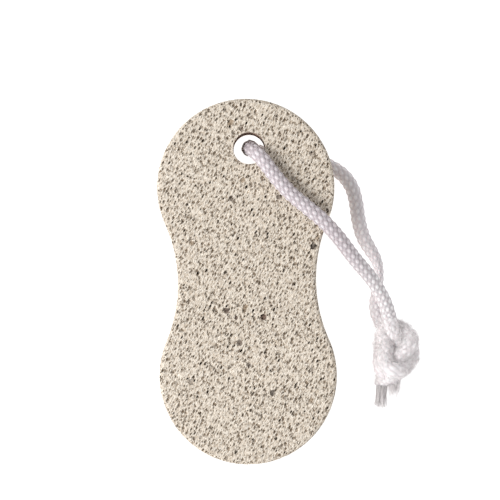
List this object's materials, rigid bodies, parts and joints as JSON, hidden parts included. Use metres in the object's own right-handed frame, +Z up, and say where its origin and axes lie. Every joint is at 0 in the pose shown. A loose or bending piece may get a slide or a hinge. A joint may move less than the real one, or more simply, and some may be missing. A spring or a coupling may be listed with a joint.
{
  "type": "pumice stone",
  "caption": "Flat hourglass-shaped pumice foot stone with a hole near one end and a knotted white hanging cord.",
  "frame": {"origin": "middle of the stone's box in X and Y, on the surface that the stone lies on", "axes": "+Y along the stone towards its hole, +Z up out of its upper face, +X across it towards the knot"},
  "size_m": [0.0753, 0.1054, 0.0228],
  "materials": {
    "pumice": "matte",
    "white_cord": "satin"
  },
  "bodies": {
    "root": {"stone": "pumice", "cord": "white_cord", "knot": "white_cord", "long_tail": "white_cord", "short_tail": "white_cord"}
  },
  "joints": []
}
